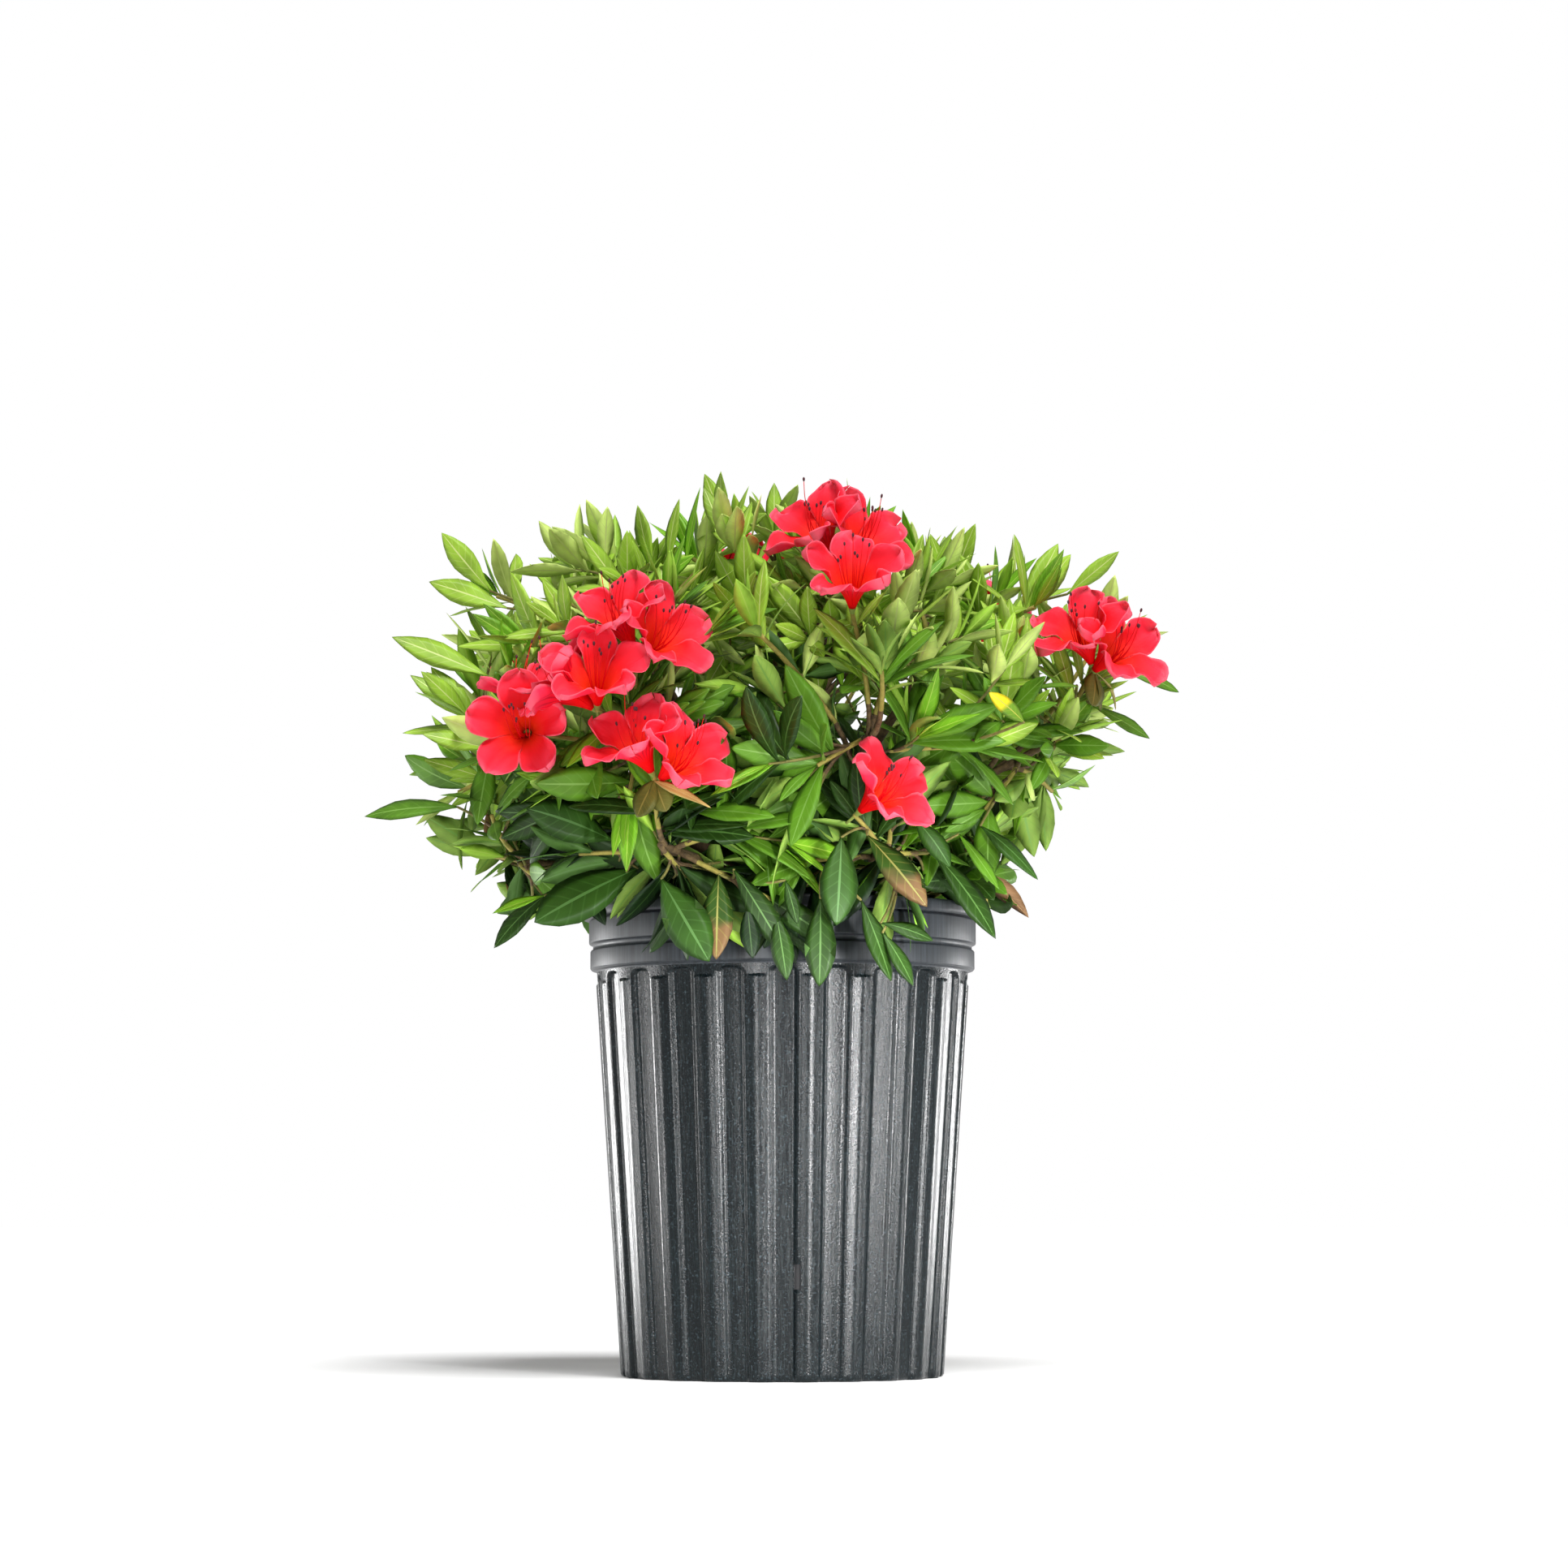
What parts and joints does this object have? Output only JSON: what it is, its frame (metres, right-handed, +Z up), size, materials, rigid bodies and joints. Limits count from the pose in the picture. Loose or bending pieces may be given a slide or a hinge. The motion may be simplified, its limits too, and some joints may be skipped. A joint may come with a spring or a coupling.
{
  "type": "potted azalea shrub",
  "caption": "Flat-topped azalea shrub in full leaf with coral-red blossom, growing in a fluted plastic nursery pot.",
  "frame": {"origin": "middle of the pot's flat underside", "axes": "+Z up along the pot's axis; -Y is the front, with the most blossom; +X is to the right seen from the front"},
  "size_m": [0.5499, 0.5424, 0.6349],
  "materials": {
    "pot_plastic": "moulded, vertically streaked, charcoal",
    "potting_soil": "rough, moist bark mix",
    "bark": "rough, thin brown bark",
    "foliage": "matt to satin leaves, some blossom"
  },
  "bodies": {
    "root": {"pot": "pot_plastic", "soil": "potting_soil", "trunk": "bark", "bough_top_1": "bark", "bough_upper_1": "bark", "bough_upper_2": "bark", "bough_upper_3": "bark", "bough_upper_4": "bark", "bough_upper_5": "bark", "bough_shoulder_1": "bark", "bough_shoulder_2": "bark", "bough_shoulder_3": "bark", "bough_shoulder_4": "bark", "bough_shoulder_5": "bark", "bough_shoulder_6": "bark", "bough_shoulder_7": "bark", "bough_skirt_1": "bark", "bough_skirt_2": "bark", "bough_skirt_3": "bark", "bough_skirt_4": "bark", "bough_skirt_5": "bark", "bough_skirt_6": "bark", "bough_skirt_7": "bark", "foliage_top_1": "foliage", "foliage_upper_1": "foliage", "foliage_upper_2": "foliage", "foliage_upper_3": "foliage", "foliage_upper_4": "foliage", "foliage_upper_5": "foliage", "foliage_shoulder_1": "foliage", "foliage_shoulder_2": "foliage", "foliage_shoulder_3": "foliage", "foliage_shoulder_4": "foliage", "foliage_shoulder_5": "foliage", "foliage_shoulder_6": "foliage", "foliage_shoulder_7": "foliage", "foliage_skirt_1": "foliage", "foliage_skirt_2": "foliage", "foliage_skirt_3": "foliage", "foliage_skirt_4": "foliage", "foliage_skirt_5": "foliage", "foliage_skirt_6": "foliage", "foliage_skirt_7": "foliage"}
  },
  "joints": []
}
